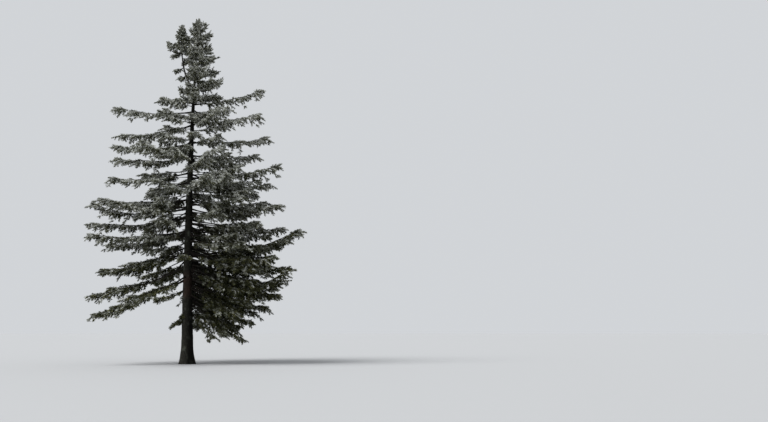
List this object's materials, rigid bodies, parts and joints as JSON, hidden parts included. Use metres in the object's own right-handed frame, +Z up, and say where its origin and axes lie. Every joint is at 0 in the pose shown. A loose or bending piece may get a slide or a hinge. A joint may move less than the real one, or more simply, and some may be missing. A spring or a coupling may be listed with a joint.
{
  "type": "norway spruce tree",
  "caption": "Mature spruce tree with a long bare lower trunk, a forked top, level boughs with upturned ends and hanging sprays of needles, rimed grey above.",
  "frame": {"origin": "middle of the flat cut at ground level under the trunk", "axes": "+Z up along the trunk; +X to the right as pictured; +Y away from the camera"},
  "size_m": [10.8673, 8.8498, 18],
  "materials": {
    "bark": "dark grey-brown scaly bark, matt, with reddish flakes and grey algae",
    "needles_dark": "dark olive green needles of the lower crown, matt",
    "needles_olive": "grey-green needles of the middle crown, lightly rimed, matt",
    "needles_rimed": "pale grey-green needles of the upper crown under rime, matt"
  },
  "bodies": {
    "root": {"trunk": "bark", "second_leader": "bark", "bough_droop_front": "bark", "bough_sweep_right": "bark", "bough_droop_left": "bark", "bough_droop_back": "bark", "bough_long_right": "bark", "bough_left_2": "bark", "bough_right_4": "bark", "bough_left_8": "bark", "needles_low_twig": "needles_dark", "needles_low_right": "needles_dark", "needles_skirt_right": "needles_dark", "needles_droop_front": "needles_dark", "needles_sweep_right": "needles_dark", "needles_droop_left": "needles_dark", "needles_droop_back": "needles_dark", "needles_long_right": "needles_dark", "needles_depth_1": "needles_dark", "needles_depth_2": "needles_dark", "needles_depth_3": "needles_dark", "needles_left_1": "needles_olive", "needles_right_1": "needles_olive", "needles_left_2": "needles_olive", "needles_right_2": "needles_olive", "needles_left_3": "needles_olive", "needles_right_3": "needles_olive", "needles_left_4": "needles_olive", "needles_right_4": "needles_olive", "needles_left_5": "needles_olive", "needles_right_5": "needles_olive", "needles_depth_4": "needles_olive", "needles_depth_5": "needles_olive", "needles_depth_6": "needles_olive", "needles_depth_7": "needles_olive", "needles_depth_8": "needles_olive", "needles_left_6": "needles_rimed", "needles_right_6": "needles_rimed", "needles_left_7": "needles_rimed", "needles_right_7": "needles_rimed", "needles_left_8": "needles_rimed", "needles_right_8": "needles_rimed", "needles_left_9": "needles_rimed", "needles_top_1": "needles_rimed", "needles_top_2": "needles_rimed", "needles_top_3": "needles_rimed", "needles_top_4": "needles_rimed", "needles_top_5": "needles_rimed", "needles_top_6": "needles_rimed", "needles_top_7": "needles_rimed", "needles_top_8": "needles_rimed", "needles_top_9": "needles_rimed", "needles_depth_9": "needles_rimed", "needles_depth_10": "needles_rimed", "needles_depth_11": "needles_rimed", "needles_depth_12": "needles_rimed", "needles_leader_low": "needles_rimed", "needles_leader_high": "needles_rimed", "needles_tip": "needles_rimed", "needles_second_tip": "needles_rimed"}
  },
  "joints": []
}
